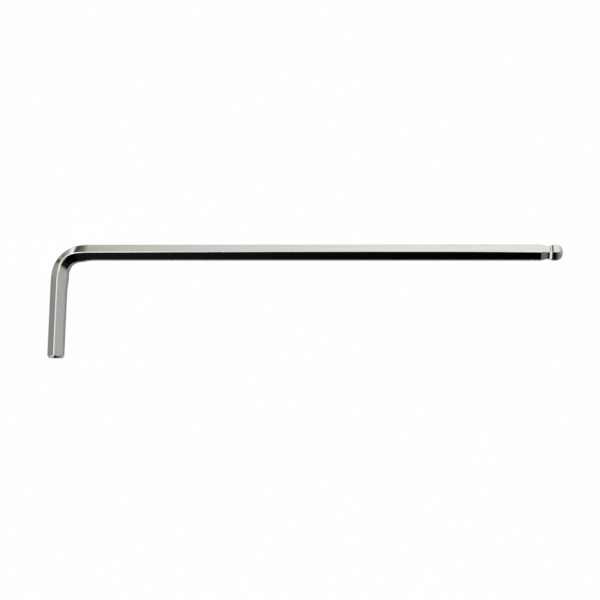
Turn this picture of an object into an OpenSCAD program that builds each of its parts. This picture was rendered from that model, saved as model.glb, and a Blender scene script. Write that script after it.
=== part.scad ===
// Hex key: one bent hexagon bar with a ball end on its long arm.
// Millimetres. The key lies flat: +X runs along the long arm to the ball, the short arm runs to -Y, +Z is up.
// The origin is the middle of the underside of the bounding box.

/* [Bar] */
// Width across the flats of the hexagon bar
across_flats = 5; // [4:0.1:7]
// Radius of the bar's long corners
corner_r = 0.45; // [0.2:0.05:0.6]

/* [Arms] */
// Long arm, from the back of the short arm to the tip of the ball
long_arm = 165; // [110:1:220]
// Short arm, from the back of the long arm to its end
short_arm = 36.9; // [28:0.1:60]
// Angle between the two arms
arm_angle = 92; // [88:0.5:95]
// Bend radius along the middle of the bar
bend_r = 8.7; // [7.5:0.1:14]
// Width of the turned chamfer at the end of the short arm
end_chamfer = 0.35; // [0.1:0.05:0.8]

/* [Ball end, as shares of the width across flats] */
// Tip of the ball to its widest place
ball_back_ratio = 0.48; // [0.46:0.01:0.5]
// Radius of the curved facets towards the tip, seen from the side
tip_arc_ratio = 0.58; // [0.56:0.01:0.62]
// Radius of the curved facets towards the neck
neck_arc_ratio = 0.75; // [0.68:0.01:0.8]
// Radius of the turned dome at the tip
dome_ratio = 0.65; // [0.62:0.01:0.8]
// Radius of the small flat on the tip
tip_ratio = 0.12; // [0.08:0.01:0.18]
// Neck, across its flats
neck_ratio = 0.8; // [0.7:0.01:0.86]
// Tip to the place where the neck begins to widen
neck_back_ratio = 1; // [0.96:0.01:1.15]
// Tip to the place where the bar is full size
shoulder_ratio = 1.4; // [1.3:0.01:1.6]

/* [Hidden] */
$fn = 128;

// Hexagon section, whose corner arcs meet the flats at a slight angle
facet_turn = 60;
half_turn = facet_turn / 2;
arc_meet = 8;
half_flats = across_flats / 2;
arc_mid = (half_flats - corner_r * cos(arc_meet)) / cos(half_turn);
arc_half = corner_r * cos(arc_meet) * sin(half_turn);
half_corners = arc_mid + corner_r;

// Axis lengths: reaches run from the place where the two arm axes cross, straights from the bend
long_reach = long_arm - half_flats;
short_reach = short_arm - half_flats;
bend_start = bend_r / tan(arm_angle / 2);
bend_turn = 180 - arm_angle;
long_straight = long_reach - bend_start;
short_straight = short_reach - bend_start;

// The bend is drawn a few microns thinner than the arms, and its ends lie a little way inside them
bend_ratio = 0.998;
bend_lap = 0.6;

// End face left inside the 45 degree chamfer of the short arm
end_r = half_flats - end_chamfer;

// Ball end, measured back from the tip, and a half width that clears the whole bar
clear_ratio = 0.7;
ball_back = ball_back_ratio * across_flats;
tip_arc_r = tip_arc_ratio * across_flats;
neck_arc_r = neck_arc_ratio * across_flats;
sphere_r = dome_ratio * across_flats;
flat_r = tip_ratio * across_flats;
sphere_back = sqrt(sphere_r * sphere_r - flat_r * flat_r);
neck_half = neck_ratio * half_flats;
neck_back = neck_back_ratio * across_flats;
shoulder_back = shoulder_ratio * across_flats;
clear_half = clear_ratio * across_flats;
clear_back = neck_back + (shoulder_back - neck_back) * (clear_half - neck_half) / (half_flats - neck_half);

// The arcs of the ball would crest a few microns outside the flats, so a short flat stays on top
crest_ratio = 1.0024;
crest_half = crest_ratio * half_flats;

// Bounding box, about the crossing of the axes
lean = arm_angle - 90;
end_x = -(short_reach - end_chamfer) * sin(lean) - half_flats * cos(lean);
end_y = -short_reach * cos(lean) - end_r * abs(sin(lean));
bend_x = bend_start - bend_r - half_flats;
mid_x = (long_reach + min(end_x, bend_x)) / 2;
mid_y = (half_flats + end_y) / 2;

// What is taken off one corner of the section
module corner_cut() {
  translate([arc_mid, 0])
    difference() {
      translate([0, -arc_half])
        square([across_flats, 2 * arc_half]);
      circle(r = corner_r);
    }
}

// Section with flats facing along its X and corners facing along its Y
module bar_section() {
  difference() {
    rotate(half_turn)
      circle(r = half_flats / cos(half_turn), $fn = 6);
    for (turn = [half_turn : facet_turn : 360])
      rotate(turn)
        corner_cut();
  }
}

// Straight bar along +X
module straight_bar(length) {
  rotate([90, 0, 90])
    linear_extrude(height = length)
      bar_section();
}

// What is taken off one facet on one side of the ball's widest place, where an arc stays
module facet_side(outline, arc_r) {
  linear_extrude(height = 2 * clear_half, center = true)
    difference() {
      polygon(outline);
      translate([-ball_back, crest_half - arc_r])
        circle(r = arc_r);
    }
}

// What is taken off one facet of the bar to leave the taper, neck and ball, with the tip at the origin
module facet_cut() {
  facet_side([
    [-clear_back, clear_half],
    [-neck_back, neck_half],
    [-ball_back, neck_half],
    [-ball_back, clear_half]
  ], neck_arc_r);
  facet_side([
    [-ball_back, clear_half],
    [-ball_back, flat_r],
    [clear_half, flat_r],
    [clear_half, clear_half]
  ], tip_arc_r);
}

// What is turned off around the tip to leave its dome, with the tip at the origin
module tip_cut() {
  rotate([0, 90, 0])
    rotate_extrude()
      difference() {
        translate([flat_r / 2, -sphere_back])
          square([clear_half, sphere_back + clear_half]);
        translate([0, -sphere_back])
          circle(r = sphere_r);
      }
}

// Straight part of the long arm, with the ball cut on its end
module ball_arm() {
  difference() {
    straight_bar(long_straight);
    translate([long_straight, 0, 0])
      for (turn = [0 : facet_turn : 300])
        rotate([turn, 0, 0])
          facet_cut();
    translate([long_straight, 0, 0])
      tip_cut();
  }
}

// Straight part of the short arm, with its end chamfered
module plain_arm() {
  intersection() {
    straight_bar(short_straight);
    translate([short_straight, 0, 0])
      rotate([0, -90, 0])
        cylinder(r1 = end_r, r2 = end_r + short_reach, h = short_reach);
  }
}

// Both arms on the bend, with the middle of the bend's circle at the origin
module bent_bar() {
  union() {
    rotate([0, 0, -bend_lap])
      rotate_extrude(angle = bend_turn + 2 * bend_lap)
        translate([bend_r, 0])
          scale(bend_ratio)
            bar_section();
    translate([bend_r, 0, 0])
      rotate([0, 0, -90])
        ball_arm();
    rotate([0, 0, bend_turn])
      translate([bend_r, 0, 0])
        rotate([0, 0, 90])
          plain_arm();
  }
}

module hex_key() {
  color("silver")
    translate([bend_start - mid_x, -bend_r - mid_y, half_corners])
      rotate([0, 0, 90])
        bent_bar();
}

hex_key();
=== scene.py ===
"""A bright plated hex key with a ball end, lying on a white table.

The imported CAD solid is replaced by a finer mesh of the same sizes, swept along the key's bent axis. The mesh
adds what bending and polishing do: an eased bend, a section that the bend deforms, and softened edges.
The key's sizes are in millimetres, and what Blender gets is in metres.
"""
import math

import bpy
import numpy as np
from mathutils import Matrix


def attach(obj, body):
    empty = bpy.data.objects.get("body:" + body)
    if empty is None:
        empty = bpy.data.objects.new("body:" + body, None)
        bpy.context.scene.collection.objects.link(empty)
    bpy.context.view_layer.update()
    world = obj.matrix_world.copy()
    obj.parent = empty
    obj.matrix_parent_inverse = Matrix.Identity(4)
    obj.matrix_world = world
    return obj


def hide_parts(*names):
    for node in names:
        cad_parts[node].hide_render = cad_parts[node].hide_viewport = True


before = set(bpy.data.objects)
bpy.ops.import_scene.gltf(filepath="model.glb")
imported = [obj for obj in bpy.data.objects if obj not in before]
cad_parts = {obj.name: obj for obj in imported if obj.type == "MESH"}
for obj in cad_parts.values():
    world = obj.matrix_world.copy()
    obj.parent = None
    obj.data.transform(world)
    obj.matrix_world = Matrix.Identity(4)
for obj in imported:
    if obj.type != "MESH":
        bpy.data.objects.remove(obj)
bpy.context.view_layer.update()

MM = 0.001

# Sizes of the bar and its arms, as in the part's source
HALF_FLATS = 2.5
LONG_ARM = 165.0
SHORT_ARM = 36.9
ARM_ANGLE = math.radians(92)
CHAMFER = 0.35

# Corner radius that reaches as far out as the source's corner and runs smoothly into the flats
CORNER_R = 0.4174

# Height of the bar's axis above the table, which is half its width across the rounded corners
AXIS_HEIGHT = 2.822185

# Sizes of the ball end, with its places measured back from the tip
BALL_BACK = 2.4
TIP_SIDE_R = 2.9
NECK_SIDE_R = 3.75
DOME_R = 3.25
TIP_R = 0.6
NECK_HALF = 2.0
NECK_BACK = 5.0
SHOULDER_BACK = 7.0
RIDGE_R = 0.08

# How widely one surface runs into the next: taper and neck, neck and ball, the ball end's facets and the bar,
# and the turned dome and the turned chamfer with the flats
TAPER_SOFT = 0.08
BALL_SOFT = 0.06
FACET_SOFT = 0.04
TIP_SOFT = 0.05
END_SOFT = 0.46

# The bend's middle radius, and half the distance over which its curve sets in
EASED_R = 8.36
EASE = 2.2

# What bending does to the section, at places measured from the long arm's end of the bend.
# Its top and bottom corners, the crests, grow rounder and move outward. The rounding is kept to them by a
# power of the height. A zone is (middle, reach before it, reach after it).
CREST_R = 0.8
CREST_POWER = 6
ROUNDED_ZONE = (6.6, 6.0, 6.0)
CREST_SHIFT = 0.68
SHIFTED_ZONE = (6.8, 6.8, 4.6)

# The inner side moves outward in the middle and bulges before and after it. A zone is (middle, reach).
INNER_SHIFT = 0.26
INNER_ZONE = (6.8, 2.6)
INNER_BULGE = 0.3
BULGE_ZONES = ((1.0, 2.2), (13.2, 2.4))

# Rings of the mesh, as (distance, steps to the next one): from the short end, and back from the tip
SHORT_END_RINGS = ((0, 24), (0.72, 4), (2, 12))
TIP_RINGS = (
    (8, 12), (7.3, 16), (6.6, 14), (5.4, 16), (4.7, 12), (4.4, 22), (3.7, 40), (1.2, 30), (0.4, 24), (0, 0))

# Steps of the mesh through the bend, on either side of it and along the long arm
BEND_STEPS = 128
BEND_SIDE = 6
BEFORE_BEND_STEPS = 16
AFTER_BEND_STEPS = 12
LONG_ARM_STEPS = 24

# Steps of the mesh over one flat and over one corner, and of the curve that the bend follows
FLAT_STEPS = 12
CORNER_STEPS = 10
PATH_STEPS = 4000

# Half steps for the slopes that give the normals, in millimetres and in radians
LENGTH_STEP = 0.005
ANGLE_STEP = 1e-4

# A radius larger than any on the bar, and the least value that is put under a root
FAR = 99.0
TINY = 0.01

SECTOR = math.pi / 3
UP = np.array([0.0, 0.0, 1.0])

# Reach of the arms from the crossing of their axes, and places of the two ends
LONG_REACH = LONG_ARM - HALF_FLATS
SHORT_REACH = SHORT_ARM - HALF_FLATS
LEAN = ARM_ANGLE - math.pi / 2
BEND_TURN = math.pi - ARM_ANGLE
BEND_LENGTH = EASED_R * BEND_TURN
END_R = HALF_FLATS - CHAMFER
END_X = -(SHORT_REACH - CHAMFER) * math.sin(LEAN) - HALF_FLATS * math.cos(LEAN)
END_Y = -SHORT_REACH * math.cos(LEAN) - END_R * math.sin(LEAN)
ORIGIN = np.array([(LONG_REACH + END_X) / 2, (HALF_FLATS + END_Y) / 2, -AXIS_HEIGHT])


def turned(run):
    """Angle that the axis has turned, at distances along it from the place where it begins to turn."""
    def eased(past):
        past = np.maximum(past, 0)
        return np.where(past < 2 * EASE, past ** 2 / (4 * EASE), past - EASE)
    return (eased(run) - eased(run - BEND_LENGTH)) / EASED_R


def bend_path():
    """Distances along the bend's axis, its points from the crossing, and its reach along either arm."""
    run = np.linspace(0, BEND_LENGTH + 2 * EASE, PATH_STEPS + 1)
    heading = math.pi / 2 - LEAN - turned((run[1:] + run[:-1]) / 2)
    pieces = np.stack([np.cos(heading), np.sin(heading), np.zeros_like(heading)], -1) * run[1]
    points = np.concatenate([np.zeros((1, 3)), np.cumsum(pieces, 0)])
    reach = points[-1, 1] / math.cos(LEAN)
    return run, points - [reach * math.sin(LEAN), points[-1, 1], 0], reach


# Distances along the bar's axis: the short arm, the bend with its eased ends, and the long arm
BEND_RUN, BEND_POINTS, BEND_REACH = bend_path()
BEND_SPAN = BEND_RUN[-1]
SHORT_LENGTH = SHORT_REACH - BEND_REACH
LONG_LENGTH = LONG_REACH - BEND_REACH
TOTAL = SHORT_LENGTH + BEND_SPAN + LONG_LENGTH


def soft_min(a, b, k):
    """The lesser of two values, rounded where they are within k of each other."""
    h = np.clip(k - np.abs(a - b), 0, None) / k
    return np.minimum(a, b) - h * h * k / 4


def soft_max(a, b, k):
    """The greater of two values, rounded where they are within k of each other."""
    return -soft_min(-a, -b, k)


def into_bend(along):
    """Distance into the bend, from its end at the long arm towards the short one."""
    return SHORT_LENGTH + BEND_SPAN - EASE - along


def swell(along, zone):
    """A smooth rise from 0 to 1 and back to 0 in a zone of the bend."""
    middle, before, after = zone
    away = into_bend(along) - middle
    return np.clip(1 - (away / np.where(away < 0, before, after)) ** 2, 0, None) ** 2


def hump(along, zone):
    """A bell curve with a height of 1 in a zone of the bend."""
    middle, reach = zone
    return np.exp(-((into_bend(along) - middle) / reach) ** 2)


def facet_width(back):
    """Half the width across the facets of the ball, the neck and the taper, back from the tip."""
    slope = (HALF_FLATS - NECK_HALF) / (SHOULDER_BACK - NECK_BACK)
    taper = NECK_HALF + (back - NECK_BACK) * slope
    neck = soft_max(taper, np.full_like(back, NECK_HALF), TAPER_SOFT)
    away = back - BALL_BACK
    arc = np.where(away < 0, TIP_SIDE_R, NECK_SIDE_R)
    ball = HALF_FLATS - arc + np.sqrt(np.clip(arc ** 2 - away ** 2, TINY, None))
    return soft_max(neck, ball, BALL_SOFT)


def turned_radius(back, along):
    """Radius that the turned dome and the turned chamfer leave, from distances to the two ends of the bar."""
    centre = math.sqrt(DOME_R ** 2 - TIP_R ** 2)
    dome = np.sqrt(np.clip(DOME_R ** 2 - (np.minimum(back, centre) - centre) ** 2, TINY, None))
    dome = np.where(back < centre, dome, FAR)
    return np.minimum(dome, END_R + along)


def flat_reach(half, corner_r):
    """Angle from the middle of a flat to the place where its corner begins."""
    return np.arctan((half - corner_r) * math.tan(SECTOR / 2) / half)


def hexagon_radius(angle, half, corner_r):
    """Polar radius of a hexagon with rounded corners and flats at 0, 60, 120 degrees and so on."""
    off = np.abs((angle + SECTOR / 2) % SECTOR - SECTOR / 2)
    centre = (half - corner_r) / math.cos(SECTOR / 2)
    turn = SECTOR / 2 - off
    arc = centre * np.cos(turn) + np.sqrt(np.clip(corner_r ** 2 - (centre * np.sin(turn)) ** 2, 0, None))
    return np.where(off <= flat_reach(half, corner_r), half / np.cos(off), arc)


def bar_radius(angle, along):
    """Polar radius of the whole bar, at a distance along its axis from the end of the short arm."""
    back = TOTAL - along
    facets = hexagon_radius(angle, facet_width(back), RIDGE_R)
    rounding = swell(along, ROUNDED_ZONE) * np.abs(np.sin(angle)) ** CREST_POWER
    corner_r = CORNER_R + (CREST_R - CORNER_R) * rounding
    bar = hexagon_radius(angle, np.full_like(back, HALF_FLATS), corner_r)
    soft = np.where(back < along, TIP_SOFT, END_SOFT)
    return soft_min(soft_min(bar, facets, FACET_SOFT), turned_radius(back, along), soft)


def axis_frame(along):
    """Point on the axis, direction towards the ball, and direction to the outer side of the bend."""
    run = along - SHORT_LENGTH
    heading = math.pi / 2 - LEAN - turned(run)
    tangent = np.stack([np.cos(heading), np.sin(heading), np.zeros_like(heading)], -1)
    outer = np.stack([-np.sin(heading), np.cos(heading), np.zeros_like(heading)], -1)
    x, y, z = (np.interp(run, BEND_RUN, BEND_POINTS[:, axis]) for axis in range(3))
    outside = np.minimum(run, 0) + np.maximum(run - BEND_SPAN, 0)
    point = np.stack([x, y, z], -1) + tangent * outside[..., None]
    return point, tangent, outer


def bend_shift(side, along):
    """How far the bend pushes the section outward, for a place on it from -1 at the inner edge to 1."""
    crest = CREST_SHIFT * swell(along, SHIFTED_ZONE)
    inner = INNER_SHIFT * hump(along, INNER_ZONE)
    for zone in BULGE_ZONES:
        inner -= INNER_BULGE * hump(along, zone)
    inward = np.clip(-side, 0, 1)
    outward = np.clip(side, 0, 1)
    return crest * (1 - inward - outward) + inner * inward


def surface(angle, along):
    """Points of the bar's skin, for angles round its axis and distances along it."""
    point, _, outer = axis_frame(along)
    radius = bar_radius(angle, along)
    across = radius * np.cos(angle)
    across = across + bend_shift(across / HALF_FLATS, along)
    return point + outer * across[..., None] + UP * (radius * np.sin(angle))[..., None] - ORIGIN


def surface_normals(angle, along):
    """Unit normals of the bar's skin, from its slopes over a small step either way."""
    before = np.clip(along - LENGTH_STEP, 0, TOTAL)
    after = np.clip(along + LENGTH_STEP, 0, TOTAL)
    by_angle = surface(angle + ANGLE_STEP, along) - surface(angle - ANGLE_STEP, along)
    by_length = surface(angle, after) - surface(angle, before)
    normal = np.cross(by_angle, by_length)
    return normal / np.linalg.norm(normal, axis=-1, keepdims=True)


def spread(*marks):
    """Values between marks, each given as (value, steps to the next one)."""
    out = []
    for (a, steps), (b, _) in zip(marks, marks[1:]):
        out += list(np.linspace(a, b, steps, endpoint=False))
    return np.array(out + [marks[-1][0]])


def ring_places():
    """Distances along the bar of the mesh's rings, which lie closer together where its form changes."""
    bend_end = SHORT_LENGTH + BEND_SPAN
    bend = [(SHORT_LENGTH - BEND_SIDE, BEFORE_BEND_STEPS), (SHORT_LENGTH, BEND_STEPS)]
    long_arm = [(bend_end, AFTER_BEND_STEPS), (bend_end + BEND_SIDE, LONG_ARM_STEPS)]
    ball_end = [(TOTAL - back, steps) for back, steps in TIP_RINGS]
    return spread(*SHORT_END_RINGS, *bend, *long_arm, *ball_end)


def ring_angles():
    """Angles round the axis of each ring's vertices."""
    flat_end = flat_reach(HALF_FLATS, CORNER_R)
    sector = spread((-flat_end, FLAT_STEPS), (flat_end, CORNER_STEPS), (SECTOR - flat_end, 0))[:-1]
    return np.concatenate([sector + SECTOR * turn for turn in range(6)])


def skin_faces(rings, count):
    """Faces between neighbouring rings, and the two flat ends last."""
    faces = []
    for i in range(rings - 1):
        for j in range(count):
            k = (j + 1) % count
            faces.append((i * count + j, i * count + k, (i + 1) * count + k, (i + 1) * count + j))
    last = (rings - 1) * count
    faces.append(tuple(range(count - 1, -1, -1)))
    faces.append(tuple(range(last, last + count)))
    return faces


def skin_coordinates(along, count):
    """Coordinates of the faces' corners: the share of the way round, and metres along the bar."""
    corners = []
    for near, far in zip(along * MM, along[1:] * MM):
        for j in range(count):
            left, right = j / count, (j + 1) / count
            corners += [(left, near), (right, near), (right, far), (left, far)]
    return corners + [(0.5, 0.0)] * count + [(0.5, TOTAL * MM)] * count


def build_key():
    """The swept bar, with normals taken from the skin itself."""
    along, angle = ring_places(), ring_angles()
    rings, count = len(along), len(angle)
    ring_angle, ring_along = np.meshgrid(angle, along)
    vertices = surface(ring_angle, ring_along).reshape(-1, 3)
    normals = surface_normals(ring_angle, ring_along).reshape(-1, 3)
    mesh = bpy.data.meshes.new("hex_key_bar")
    mesh.from_pydata((vertices * MM).tolist(), [], skin_faces(rings, count))
    mesh.polygons.foreach_set("use_smooth", [True] * len(mesh.polygons))
    coordinates = mesh.uv_layers.new(name="round_and_along")
    coordinates.data.foreach_set("uv", np.ravel(skin_coordinates(along, count)))

    # The two end faces are flat, so their normals run along the axis
    loop_vertex = np.zeros(len(mesh.loops), int)
    mesh.loops.foreach_get("vertex_index", loop_vertex)
    loop_normal = normals[loop_vertex]
    _, tangents, _ = axis_frame(along[[0, -1]])
    loop_normal[-2 * count:-count] = -tangents[0]
    loop_normal[-count:] = tangents[1]
    mesh.normals_split_custom_set(loop_normal.tolist())
    mesh.update()
    bar = bpy.data.objects.new("plated_bar", mesh)
    bpy.context.scene.collection.objects.link(bar)
    return bar


key = build_key()
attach(key, "root")
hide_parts("hex_key")


class Nodes:
    """Short ways to add nodes to a material or a world, from numbers, colours and other nodes' outputs."""

    def __init__(self, owner):
        owner.use_nodes = True
        self.tree = owner.node_tree
        self.tree.nodes.clear()

    def add(self, kind, **settings):
        node = self.tree.nodes.new("ShaderNode" + kind)
        for name, setting in settings.items():
            setattr(node, name, setting)
        return node

    def fill(self, socket, value):
        """Link another node's output to a socket, or set the socket to a number or a colour."""
        if isinstance(value, bpy.types.NodeSocket):
            self.tree.links.new(value, socket)
        elif socket.type == "RGBA":
            socket.default_value = (*value, 1)
        else:
            socket.default_value = value

    def math(self, operation, *values):
        node = self.add("Math", operation=operation)
        for socket, value in zip(node.inputs, values):
            self.fill(socket, value)
        return node.outputs[0]

    def edge(self, value, low, high):
        """A soft step from 0 at low to 1 at high, or the other way where low is the greater."""
        node = self.add("MapRange", interpolation_type="SMOOTHSTEP")
        limits = (low, high, 0, 1) if low < high else (high, low, 1, 0)
        for name, limit in zip(("From Min", "From Max", "To Min", "To Max"), limits):
            self.fill(node.inputs[name], limit)
        self.fill(node.inputs["Value"], value)
        return node.outputs[0]

    def mix(self, share, a, b):
        """A colour between two colours."""
        node = self.add("Mix", data_type="RGBA")
        for place, value in ((0, share), (6, a), (7, b)):
            self.fill(node.inputs[place], value)
        return node.outputs[2]

    def mix_shaders(self, share, a, b):
        node = self.add("MixShader")
        for socket, value in zip(node.inputs, (share, a, b)):
            self.fill(socket, value)
        return node.outputs[0]

    def plain(self, kind, colour):
        """A shader of one colour."""
        node = self.add(kind)
        self.fill(node.inputs["Color"], colour)
        return node.outputs[0]

    def output(self, kind, shader):
        """Make a shader the surface of the material or the world."""
        self.fill(self.add(kind).inputs["Surface"], shader)


WHITE = (1, 1, 1)

# Two tones of the plate, and the part of the noise over which one goes into the other
PLATE_TONE = (0.79, 0.785, 0.745)
DARKER_TONE = (0.755, 0.76, 0.72)
TONE_EDGE = (0.35, 0.65)

# Roughness of the plate, and what the drawn lines, the mottle and the turned marks add to it
ROUGH = 0.04
LINES_ROUGH = 0.03
MOTTLE_ROUGH = 0.02
TURNED_ROUGH = 0.03

# Depths of the relief, the distance between the turned marks, and where the marks end, in metres
RIPPLE_DEPTH = 6e-6
DRAWN_DEPTH = 1.6e-6
LINES_DEPTH = 4.5e-7
MARKS_DEPTH = 2e-7
MARKS_PITCH = 0.00011
MARKS_EDGE = (0.0007, 0.0004)


class Finish(Nodes):
    """Nodes of the plated bar's finish, on coordinates that run round the bar and along it."""

    def __init__(self, material):
        super().__init__(material)
        self.place = self.add("TexCoord")
        split = self.add("SeparateXYZ")
        self.fill(split.inputs[0], self.place.outputs["UV"])
        self.round, self.along = split.outputs["X"], split.outputs["Y"]

    def noise(self, vector, scale, detail):
        node = self.add("TexNoise")
        for name, value in (("Vector", vector), ("Scale", scale), ("Detail", detail)):
            self.fill(node.inputs[name], value)
        return node.outputs[0]

    def streaks(self, count, length, detail):
        """Noise drawn out along the bar: so many streaks round it, each about length metres long."""
        turn = self.math("MULTIPLY", self.round, 2 * math.pi)
        ring = count / (2 * math.pi)
        join = self.add("CombineXYZ")
        self.fill(join.inputs[0], self.math("MULTIPLY", self.math("COSINE", turn), ring))
        self.fill(join.inputs[1], self.math("MULTIPLY", self.math("SINE", turn), ring))
        self.fill(join.inputs[2], self.math("DIVIDE", self.along, length))
        return self.noise(join.outputs[0], 1.0, detail)

    def from_end(self):
        """Distance from the middle of the short arm's end face."""
        point, _, _ = axis_frame(np.zeros(1))
        node = self.add("VectorMath", operation="DISTANCE")
        self.fill(node.inputs[0], self.place.outputs["Object"])
        self.fill(node.inputs[1], tuple((point[0] - ORIGIN) * MM))
        return node.outputs["Value"]

    def rings(self, distance):
        """Waves with the pitch of the turned marks."""
        return self.math("SINE", self.math("MULTIPLY", distance, 2 * math.pi / MARKS_PITCH))

    def bump(self, height, depth, normal=None):
        node = self.add("Bump")
        self.fill(node.inputs["Strength"], 1.0)
        self.fill(node.inputs["Distance"], depth)
        self.fill(node.inputs["Height"], height)
        if normal is not None:
            self.fill(node.inputs["Normal"], normal)
        return node.outputs[0]


def plated_material():
    """Bright plate over a drawn bar: faint lines along it, a slight ripple, and turned marks at its ends."""
    material = bpy.data.materials.new("bright_plate")
    finish = Finish(material)
    lines = finish.streaks(count=260, length=0.012, detail=3)
    drawn = finish.streaks(count=80, length=0.02, detail=2)
    broad = finish.streaks(count=26, length=0.03, detail=2)
    ripple = finish.noise(finish.place.outputs["Object"], scale=140, detail=1)
    mottle = finish.noise(finish.place.outputs["Object"], scale=900, detail=3)

    # Turned marks: rings on the end face and its chamfer, and rings round the ball and its neck
    near_end = finish.edge(finish.along, *MARKS_EDGE)
    near_ball = finish.edge(finish.along, (TOTAL - SHOULDER_BACK) * MM, (TOTAL - NECK_BACK) * MM)
    end_marks = finish.math("MULTIPLY", finish.rings(finish.from_end()), near_end)
    ball_marks = finish.math("MULTIPLY", finish.rings(finish.along), near_ball)
    turned_part = finish.math("MAXIMUM", near_end, near_ball)

    blend = finish.math("MULTIPLY", finish.math("ADD", broad, drawn), 0.5)
    tone = finish.mix(finish.edge(blend, *TONE_EDGE), PLATE_TONE, DARKER_TONE)

    rough = finish.math("MULTIPLY_ADD", lines, LINES_ROUGH, ROUGH)
    rough = finish.math("MULTIPLY_ADD", mottle, MOTTLE_ROUGH, rough)
    rough = finish.math("MULTIPLY_ADD", turned_part, TURNED_ROUGH, rough)

    normal = finish.bump(ripple, RIPPLE_DEPTH)
    normal = finish.bump(drawn, DRAWN_DEPTH, normal)
    normal = finish.bump(lines, LINES_DEPTH, normal)
    normal = finish.bump(finish.math("ADD", end_marks, ball_marks), MARKS_DEPTH, normal)

    shader = finish.add("BsdfPrincipled")
    inputs = (("Metallic", 1.0), ("Base Color", tone), ("Roughness", rough), ("Normal", normal))
    for name, value in inputs:
        finish.fill(shader.inputs[name], value)
    finish.output("OutputMaterial", shader.outputs["BSDF"])
    return material


key.data.materials.append(plated_material())

# Camera, almost straight above, as in the photograph: its place in metres and its turn in radians
CAMERA_PLACE = (0.0314458, -0.0129841, 0.4207557)
CAMERA_TURN = (0.0329344, 0.0542403, 0.0036234)
CAMERA_SENSOR = 36
CAMERA_LENS = 78
CAMERA_SHIFT = -0.05


def build_camera():
    data = bpy.data.cameras.new("camera")
    data.sensor_width = CAMERA_SENSOR
    data.lens = CAMERA_LENS
    data.shift_x = CAMERA_SHIFT
    camera = bpy.data.objects.new("camera", data)
    camera.location = CAMERA_PLACE
    camera.rotation_euler = CAMERA_TURN
    bpy.context.scene.collection.objects.link(camera)
    return camera


bpy.context.scene.camera = build_camera()

# The table: half its side in metres, the grey that light falls on, and the share of white that the camera
# sees and that the key mirrors
TABLE_HALF = 3.0
TABLE_GREY = (0.66, 0.66, 0.66)
TABLE_SEEN = 0.99
TABLE_MIRRORED = 0.05


def table_material():
    """White to the camera, dim in what the key mirrors, and grey to all other light."""
    material = bpy.data.materials.new("white_table")
    nodes = Nodes(material)
    path = nodes.add("LightPath").outputs
    mirrored = nodes.math("ADD", path["Is Glossy Ray"], path["Is Transmission Ray"])
    mirrored = nodes.math("MULTIPLY", mirrored, TABLE_MIRRORED)
    share = nodes.math("MULTIPLY_ADD", path["Is Camera Ray"], TABLE_SEEN, mirrored)
    paint = nodes.plain("BsdfDiffuse", TABLE_GREY)
    glow = nodes.plain("Emission", WHITE)
    nodes.output("OutputMaterial", nodes.mix_shaders(share, paint, glow))
    return material


def build_floor():
    mesh = bpy.data.meshes.new("table")
    signs = ((-1, -1), (1, -1), (1, 1), (-1, 1))
    corners = [(x * TABLE_HALF, y * TABLE_HALF, 0) for x, y in signs]
    mesh.from_pydata(corners, [], [(0, 1, 2, 3)])
    mesh.materials.append(table_material())
    floor = bpy.data.objects.new("table", mesh)
    bpy.context.scene.collection.objects.link(floor)
    return floor


build_floor()

# The studio's brightness by azimuth in degrees, near the table and higher up. A stop is (azimuth, grey) or
# (azimuth, colour), and stops are joined by straight lines.
FAINT = (0.011, 0.0095, 0.0145)
LOW_PANELS = (
    (-180, 0.29), (-160, 1.05), (-124, 1.1), (-119, 0.0), (-106, FAINT), (-93, 0.003),
    (-82, 0.0), (-76, 0.09), (-65, 0.13), (-52, 0.19), (-42, 0.24), (0, 0.4), (25, 0.55), (44, 0.78),
    (56, 0.95), (90, 0.96), (99, 0.77), (103.5, (0.66, 0.64, 0.62)), (105.5, (0.51, 0.5, 0.47)),
    (108, (0.21, 0.2, 0.175)), (111, (0.095, 0.085, 0.065)), (114.5, 0.05), (116.5, (0.2, 0.19, 0.165)),
    (119.5, 1.2), (124, 0.98), (127, 0.55), (134, 0.36), (147, 0.07), (154, 0.08), (161, 0.35), (168, 0.39),
    (180, 0.29))
HIGH_PANELS = (
    (-180, 1.6), (-150, 1.0), (-128, 0.9), (-119, 0.0), (-106, FAINT), (-93, 0.003), (-82, 0.0), (-28, 0.0),
    (-22, (0.12, 0.105, 0.08)), (-15, (0.4, 0.385, 0.32)), (-9, (0.46, 0.45, 0.41)), (-3, 0.5), (0, 0.49),
    (30, 0.8), (60, 1.0), (95, 1.1), (107, 1.2), (113, 0.5), (121, 0.55), (128, 1.3), (150, 1.5),
    (180, 1.6))

# The bright top of the studio, and the elevations in degrees over which low panels go into high ones and
# high ones into the top
TOP = (1.4, 1.4, 1.42)
HIGH_EDGE = (24, 42)
TOP_EDGE = (50, 72)

# Near the table the panel beyond the dark gap is dimmer. Each pair goes from no dimming to full dimming.
DIM_GREY = (0.28, 0.28, 0.28)
DIM_AZIMUTH = (-108, -114)
DIM_ELEVATION = (16, 6)

# A black flag overhead, by direction as parts of a unit length. A stop is (x, reach), where a reach from 0
# to 1 stands for the flag's edge at a y from -1 to 1.
FLAG_REACH = (
    (-0.28, 0.1), (-0.22, 0.35), (-0.18, 0.5), (-0.14, 0.64), (-0.09, 0.74), (-0.03, 0.83), (0.03, 0.815),
    (0.08, 0.71), (0.12, 0.33), (0.15, 0.0))
FLAG_SOFT = 0.07
FLAG_ELEVATION = (38, 50)
BLACK = (0.0, 0.0, 0.0)


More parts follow.
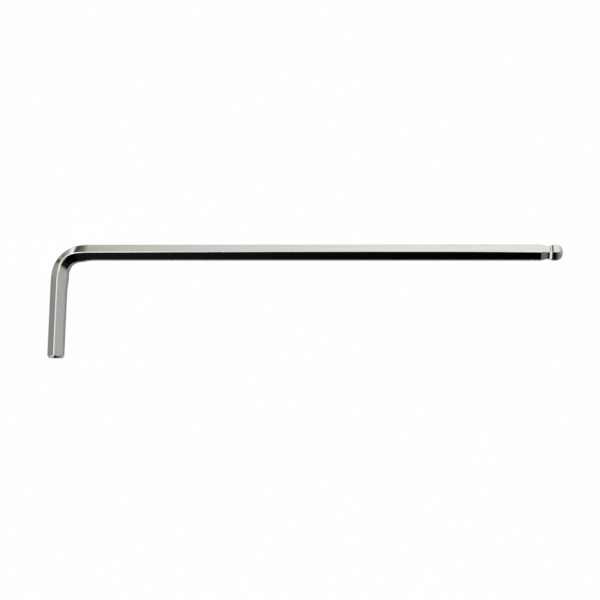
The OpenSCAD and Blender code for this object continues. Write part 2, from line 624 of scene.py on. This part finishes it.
class Sky(Nodes):
    """A studio drawn on the world: panels and a black flag, placed by direction."""

    def __init__(self, world):
        super().__init__(world)
        split = self.add("SeparateXYZ")
        self.fill(split.inputs[0], self.add("TexCoord").outputs["Generated"])
        self.x, self.y = split.outputs["X"], split.outputs["Y"]
        self.azimuth = self.degrees("ARCTAN2", self.y, self.x)
        self.elevation = self.degrees("ARCSINE", split.outputs["Z"])

    def degrees(self, operation, *values):
        return self.math("MULTIPLY", self.math(operation, *values), 180 / math.pi)

    def ramp(self, value, stops):
        """Brightness in straight lines between stops of (value, grey) or (value, colour)."""
        low, high = stops[0][0], stops[-1][0]
        node = self.add("ValToRGB")
        node.color_ramp.interpolation = "LINEAR"
        points = node.color_ramp.elements
        while len(points) < len(stops):
            points.new(0.5)
        for point, (place, grey) in zip(points, stops):
            colour = grey if isinstance(grey, tuple) else (grey, grey, grey)
            point.position = (place - low) / (high - low)
            point.color = (*colour, 1)
        scaled = self.math("DIVIDE", self.math("SUBTRACT", value, low), high - low)
        self.fill(node.inputs[0], scaled)
        return node.outputs[0]


def build_studio():
    """World that the key mirrors, while the camera sees plain white."""
    world = bpy.data.worlds.new("studio")
    sky = Sky(world)
    low = sky.ramp(sky.azimuth, LOW_PANELS)
    dim = sky.math("MULTIPLY", sky.edge(sky.azimuth, *DIM_AZIMUTH), sky.edge(sky.elevation, *DIM_ELEVATION))
    low = sky.mix(dim, low, DIM_GREY)
    high = sky.ramp(sky.azimuth, HIGH_PANELS)
    sides = sky.mix(sky.edge(sky.elevation, *HIGH_EDGE), low, high)
    dome = sky.mix(sky.edge(sky.elevation, *TOP_EDGE), sides, TOP)

    reach = sky.math("SUBTRACT", sky.math("MULTIPLY", sky.ramp(sky.x, FLAG_REACH), 2), 1)
    within = sky.edge(sky.math("SUBTRACT", reach, sky.y), -FLAG_SOFT, FLAG_SOFT)
    flag = sky.math("MULTIPLY", within, sky.edge(sky.elevation, *FLAG_ELEVATION))
    studio = sky.plain("Background", sky.mix(flag, dome, BLACK))

    backdrop = sky.plain("Background", WHITE)
    seen = sky.add("LightPath").outputs["Is Camera Ray"]
    sky.output("OutputWorld", sky.mix_shaders(seen, studio, backdrop))
    return world


bpy.context.scene.world = build_studio()
bpy.context.scene.view_settings.view_transform = "Standard"
